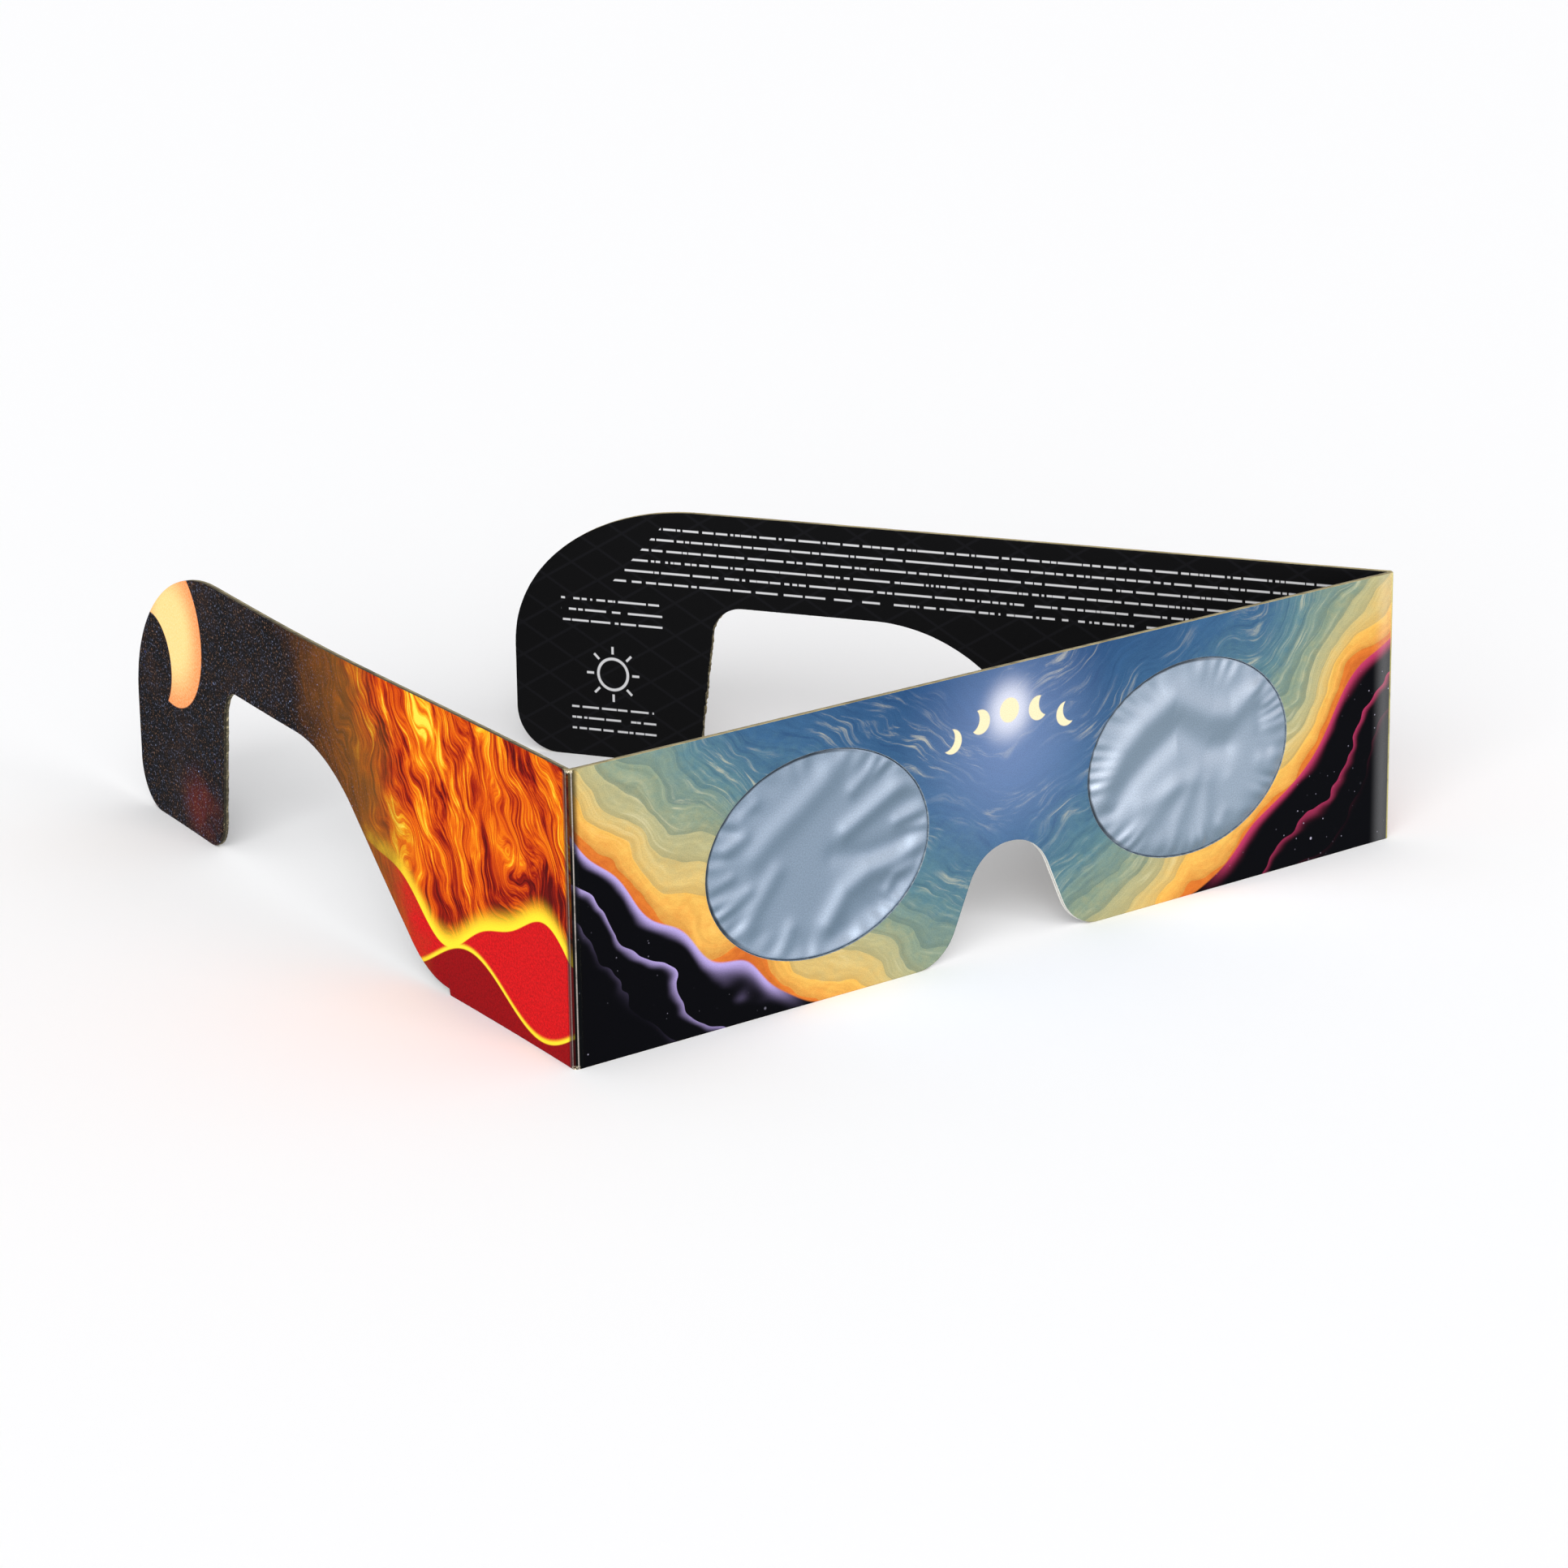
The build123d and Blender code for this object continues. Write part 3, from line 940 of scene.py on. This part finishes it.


# Folds in each film: a crest line in millimetres from the window's middle, then its
# height towards the sun and its half width
filmFolds = {
    "left": [
        ([(-10.5, 2.0), (-7.5, 4.2), (-3.2, 6.8), (1.5, 10.0), (4.4, 12.6)], 0.34, 2.0),
        ([(6.2, 7.8), (9.5, 10.4), (11.0, 12.0)], 0.26, 1.2),
        ([(4.9, 2.2), (10.6, 5.0), (15.7, 7.5)], 0.42, 1.5),
        ([(13.9, 1.8), (18.0, 2.9)], 0.26, 1.1),
        ([(3.0, -0.9), (9.0, -1.9), (15.0, -1.3)], -0.24, 1.6),
        ([(1.6, -10.2), (4.8, -6.2), (8.9, -4.2), (14.2, -3.6), (18.6, -1.9)], 0.46, 1.7),
        ([(12.3, -7.4), (13.4, -5.6), (16.0, -4.9)], 0.24, 0.9),
        ([(5.0, -12.0), (9.0, -9.2), (12.0, -8.7)], -0.2, 2.0),
        ([(-7.2, -1.1), (-10.6, -5.2), (-13.1, -8.8)], 0.28, 1.5),
        ([(-4.8, -9.6), (-7.2, -13.0)], 0.26, 1.3),
        ([(-11.8, -2.7), (-17.0, -5.2)], 0.2, 1.0),
        ([(-14.8, -0.3), (-18.3, -1.4)], 0.18, 0.9),
        ([(-15.5, 3.6), (-12.6, 5.0)], 0.26, 1.2),
        ([(-12.6, 8.0), (-10.8, 9.0)], 0.18, 1.0),
    ],
    "right": [
        ([(-16.0, -1.5), (-12.5, 3.3), (-8.6, 6.3), (-2.8, 9.3), (0.5, 7.4), (4.0, 5.6), (8.0, 4.9),
          (12.4, 7.6)], 0.46, 2.0),
        ([(-14.8, -5.0), (-10.6, -1.2), (-6.7, 1.5), (-2.0, 4.2), (3.5, 0.5), (7.0, 0.2)],
         -0.44, 2.0),
        ([(1.3, -2.6), (-8.9, -5.4)], 0.18, 1.5),
        ([(7.8, -4.4), (11.8, -10.4)], 0.15, 1.4),
        ([(13.4, 4.4), (13.8, 1.0), (15.2, -1.5)], -0.2, 1.1),
        ([(13.8, -3.0), (16.8, -5.4)], 0.16, 1.2),
        ([(5.6, -10.9), (6.6, -9.4)], 0.12, 1.1),
        ([(-3.0, -3.6), (-9.4, -9.0), (-11.0, -11.4)], 0.24, 1.8),
        ([(0.4, -4.2), (-2.4, -9.0), (-3.4, -13.0)], 0.2, 1.5),
        ([(3.2, -4.4), (3.0, -9.0), (2.2, -13.2)], 0.18, 1.4),
        ([(-15.0, -4.5), (-17.8, -2.0)], 0.24, 1.2),
    ],
}
filmShape = {
    "puckers": {"left": 34, "right": 44},
    "puckerHeight": 0.085,
    "puckerReach": 0.85,    # from the rim to where the puckers stand highest
    "swell": (0.2, 0.24, -18.0),     # just inside the rim: mean, swing, and where it is highest
    "swellRun": 0.1,
    "innerWaves": (0.07, 2.2, 1.7),     # slower ones: height, from the rim to their middle, reach
    "settle": 1.6,          # from the rim to where the folds reach full height
    "thickness": 0.03,
    "lean": {"left": -0.4, "right": 0.6},
}


def foldHeight(px, pz, line, height, halfWidth):
    # height times e to the minus (distance to the line / half width) squared
    line = np.array(line)
    near = np.full(px.shape, 1e9)
    for start, end in zip(line[:-1], line[1:]):
        run = end - start
        dx, dz = px - start[0], pz - start[1]
        share = np.clip((dx * run[0] + dz * run[1]) / (run @ run), 0, 1)
        near = np.minimum(near, np.hypot(dx - share * run[0], dz - share * run[1]))
    return height * np.exp(-(near / halfWidth) ** 2)


def filmHeight(side, x, z):
    # swell at the rim + short waves round the rim that die away inwards + the folds + a lean
    shape, wide, high = filmShape, window["halfWidth"], window["halfHeight"]
    px, pz = x - sides[side]["sign"] * window["offset"], z - window["centre"]
    reach = np.hypot(px / wide, pz / high)
    inside = np.clip((1 - reach) * (wide + high) / 2, 0, None)
    theta = np.arctan2(pz / high, px / wide)
    draw = np.random.default_rng(20 + sides[side]["sign"])
    phases = draw.uniform(0, 2 * pi, 8)
    swing = shape["puckers"][side] * theta + 2.3 * np.sin(3 * theta + phases[0])
    swing = swing + 1.6 * np.sin(7 * theta + phases[1])
    strength = 0.62 + 0.38 * np.sin(11 * theta + phases[2]) * np.sin(4 * theta + phases[3])
    reachIn = inside / shape["puckerReach"]
    pucker = shape["puckerHeight"] * strength * np.sin(swing) * reachIn * np.exp(1 - reachIn)
    slow = 19 * theta + 1.5 * np.sin(4 * theta + phases[4]) + phases[5]
    crest, middle, breadth = shape["innerWaves"]
    pucker = pucker + crest * np.sin(slow) * np.exp(-((inside - middle) / breadth) ** 2) * (inside > 0)
    folds = sum(foldHeight(px, pz, *fold) for fold in filmFolds[side])
    settled = 1 - np.exp(-(inside / shape["settle"]) ** 1.5)
    mean, change, highest = shape["swell"]
    swell = (mean + change * np.clip(reach, 0, 1) * np.cos(theta - radians(highest))) * (
        1 - np.exp(-inside / shape["swellRun"]))
    lean = shape["lean"][side] * settled * (0.5 + 0.3 * px / wide - 0.4 * pz / high)
    return swell + pucker + folds * settled + lean


def filmPlace(side):
    # the front's own place, pushed towards the sun by the film's height
    def place(flat, depth):
        x, z = flat.T
        ground = frontPlace(flat, depth)
        ground[:, 1] -= filmHeight(side, x, z)
        return ground
    return place


# Pieces

def evenCut(edge):
    # the same fray all round
    return np.full(len(edge), cuts["front"])


def templeCut(edge):
    # even fray + a bell curve along s below the arm + another under the tip
    s, z = edge.T
    below = np.clip((hookFray["top"] - z) / 3, 0, 1)
    torn = hookFray["depth"] * np.exp(-((s - hookFray["at"]) / hookFray["reach"]) ** 2) * below
    tip = burr["depth"] * np.exp(-((s - burr["at"]) / burr["reach"]) ** 2) * (z < 2)
    return cuts["temple"] + torn + tip


def smooth(edge):
    # no fray
    return np.zeros(len(edge))


layers = {
    "outer": (0.0, card["ply"]),
    "glue": (card["ply"], card["ply"] + card["glue"]),
    "inner": (card["ply"] + card["glue"], card["thickness"]),
}
cores = {name: newSurface(name, rawCore, look) for name, look in coreLook.items()}
core, blackCore = cores["printed_core"], cores["black_core"]
templeCores = {"left": cores["dark_core"], "right": core}
rim = newSurface("window_edge", windowEdge)
glue = newSurface("glue_line", glueLine)
frontSurface = newSurface("front_print", frontPrint)
templeSurfaces = {side: newSurface(side + "_temple_print", templePrint, side) for side in sides}
plainBlack = newSurface("black_face", blackFace)
barredBlack = newSurface("black_face_bars", blackFace, True)
silver = {side: newSurface(side + "_film_silver", filmFace, filmLook[side]) for side in sides}
gold = newSurface("film_gold", filmFace, filmLook["gold"])
print("stage: surfaces made")


def finishPiece(piece, surfaces, node, body):
    # its surfaces, and what the frame should know of it
    for surface in surfaces:
        piece.data.materials.append(surface)
    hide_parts(node)
    if body:
        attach(piece, body)
    return piece


def makePanel(panel, sheet, place, ragged, seeds, printed, black, glueSheet, glued):
    # the two plies and the glue between them; printed and black are the surfaces of the plies
    rows = (("printed_ply", "outer_card", "printed_card", "outer", "near", printed),
            ("black_ply", "inner_card", "black_card", "inner", "far", black))
    for (kind, node, slot, layer, facing, surfaces), seed in zip(rows, seeds):
        ply = sheetToShell(f"{panel}_{kind}", sheet, *layers[layer], place, card["edgeRoll"], ragged,
                           seed, facing)
        finishPiece(ply, surfaces, f"{panel}_{node}", panel)
    line = sheetToShell(f"{panel}_glue_line", glueSheet, *layers["glue"], place, 0.01, smooth,
                        seeds[2], "near")
    finishPiece(line, glued, f"{panel}_glue_layer", panel)
    print("stage:", panel, "made")


def makeFront():
    makePanel("front", frontSheet(0.0, 0.0), frontPlace, evenCut, (11, 17, 19),
              [frontSurface, core, rim], [plainBlack, blackCore, rim],
              frontSheet(window["filmLap"] + card["glueGap"], card["glueTrim"]), [glue, glue, glue])


def makeTemple(side):
    seed = 40 + 10 * sides[side]["sign"]
    black = barredBlack if side == "right" else plainBlack
    makePanel(side + "_temple", templeSheet(0.0), templePlace(side), templeCut,
              (seed, seed + 5, seed + 7), [templeSurfaces[side], templeCores[side]],
              [black, blackCore], templeSheet(card["glueTrim"]), [glue, glue])


def makeCreases(side):
    axis, sign, angle = (sides[side][key] for key in ("axis", "sign", "angle"))
    width = 2 * card["creaseHalf"] + card["foldRadius"] * (pi - angle)
    sheet = stripSheet(width, 41, 90)
    place = creasePlace(side)
    for layer, slot in (("outer", "printed_card"), ("inner", "black_card")):
        near, far = layers[layer]
        strip = sheetToShell(f"{side}_{layer}_fold", sheet, near, far, place, 0.03, smooth,
                             60, "near" if layer == "outer" else "far")
        surfaces = [plainBlack, blackCore]
        if layer == "outer":
            surfaces = [newSurface(f"{side}_fold_print", creasePrint, width, side), core]
        finishPiece(strip, surfaces, f"{side}_{layer}_crease", None)
        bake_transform(strip)
    print("stage:", side, "fold made")


def makeFilm(side):
    lap = window["filmLap"]
    centre = (sides[side]["sign"] * window["offset"], window["centre"])
    middle, half = sum(layers["glue"]) / 2, filmShape["thickness"] / 2
    sheet = ovalSheet(centre, np.linspace(0, lap, 7)[1:], 380)
    film = sheetToShell(side + "_film", sheet, middle - half, middle + half, filmPlace(side),
                        0.004, smooth, 70, "near")
    finishPiece(film, [silver[side], gold], side + "_filter_film", "front")
    print("stage:", side, "film made")


makeFront()
for side in sides:
    makeTemple(side)
    makeCreases(side)
    makeFilm(side)


# Studio

studio = {
    "floorSize": 8.0,
    "floor": (252, 252, 253),
    # the room's light against the share of "up and to the left" in a direction, from -1 to 1
    "gradient": (-0.42, 0.0, 0.9),
    "room": [(-0.9, (0.20, 0.27, 0.30)), (-0.52, (0.34, 0.43, 0.50)), (-0.2, (0.85, 0.88, 0.95)),
             (0.0, (0.55, 0.55, 0.55)), (1.0, (0.55, 0.55, 0.55))],
    # two broad soft lights: azimuth, elevation, angle across, strength
    "lights": {"front_light": (-14.0, 22.0, 56.0, 1.8), "left_light": (-50.0, 22.0, 44.0, 2.15)},
}
camera = {
    "target": (-39.76, 0.0, 31.62),
    "distance": 651.0,
    "azimuth": radians(-38.92),
    "elevation": radians(16.98),
    "roll": radians(-0.815),
    "lens": 113.35,
    "sensor": 36.0,
}


def fromAngles(azimuth, elevation):
    # the direction to something at this azimuth, 0 straight before the front, and elevation
    return Vector((sin(azimuth) * cos(elevation), -cos(azimuth) * cos(elevation), sin(elevation)))


def paper(shader):
    matt(shader, 0.8, 0.2)
    return studio["floor"]


def makeStudio():
    half = studio["floorSize"] / 2
    mesh = bpy.data.meshes.new("studio_floor")
    mesh.from_pydata([(-half, -half, 0), (half, -half, 0), (half, half, 0), (-half, half, 0)], [],
                     [(0, 1, 2, 3)])
    floor = added("studio_floor", mesh)
    mesh.materials.append(newSurface("studio_paper", paper))
    floor.visible_glossy = False     # the films and the gloss print mirror the room, not the floor
    for name, (azimuth, elevation, across, strength) in studio["lights"].items():
        light = bpy.data.lights.new(name, "SUN")
        light.angle = radians(across)
        light.energy = strength
        away = -fromAngles(radians(azimuth), radians(elevation))
        added(name, light).rotation_euler = away.to_track_quat("-Z", "Y").to_euler()
    world = bpy.data.worlds.new("studio_room")
    bpy.context.scene.world = world
    world.use_nodes = True
    tree = world.node_tree
    background = tree.nodes["Background"]
    background.inputs["Strength"].default_value = 1.0
    places = parted(newNode(tree, "TexCoord", {}).outputs["Generated"])
    share = sum(wire * part for wire, part in zip(places, studio["gradient"]))
    feed(background.inputs["Color"], ramp(share * 0.5 + 0.5, [
        (place * 0.5 + 0.5, level + (1.0,)) for place, level in studio["room"]]))
    bpy.context.scene.view_settings.view_transform = "Standard"


def makeCamera():
    back = fromAngles(camera["azimuth"], camera["elevation"])
    right = (-back).cross(Vector((0, 0, 1))).normalized()
    up = right.cross(-back)
    roll = camera["roll"]
    tilted = right * cos(roll) + up * sin(roll)
    raised = up * cos(roll) - right * sin(roll)
    place = (Vector(camera["target"]) + back * camera["distance"]) * mm
    data = bpy.data.cameras.new("camera")
    data.lens = camera["lens"]
    data.sensor_width = camera["sensor"]
    data.clip_start, data.clip_end = 0.05, 50.0
    holder = added("camera", data)
    turn = Matrix((tilted, raised, back)).transposed().to_4x4()
    holder.matrix_world = Matrix.Translation(place) @ turn
    bpy.context.scene.camera = holder


makeStudio()
makeCamera()
print("stage: studio and camera made")
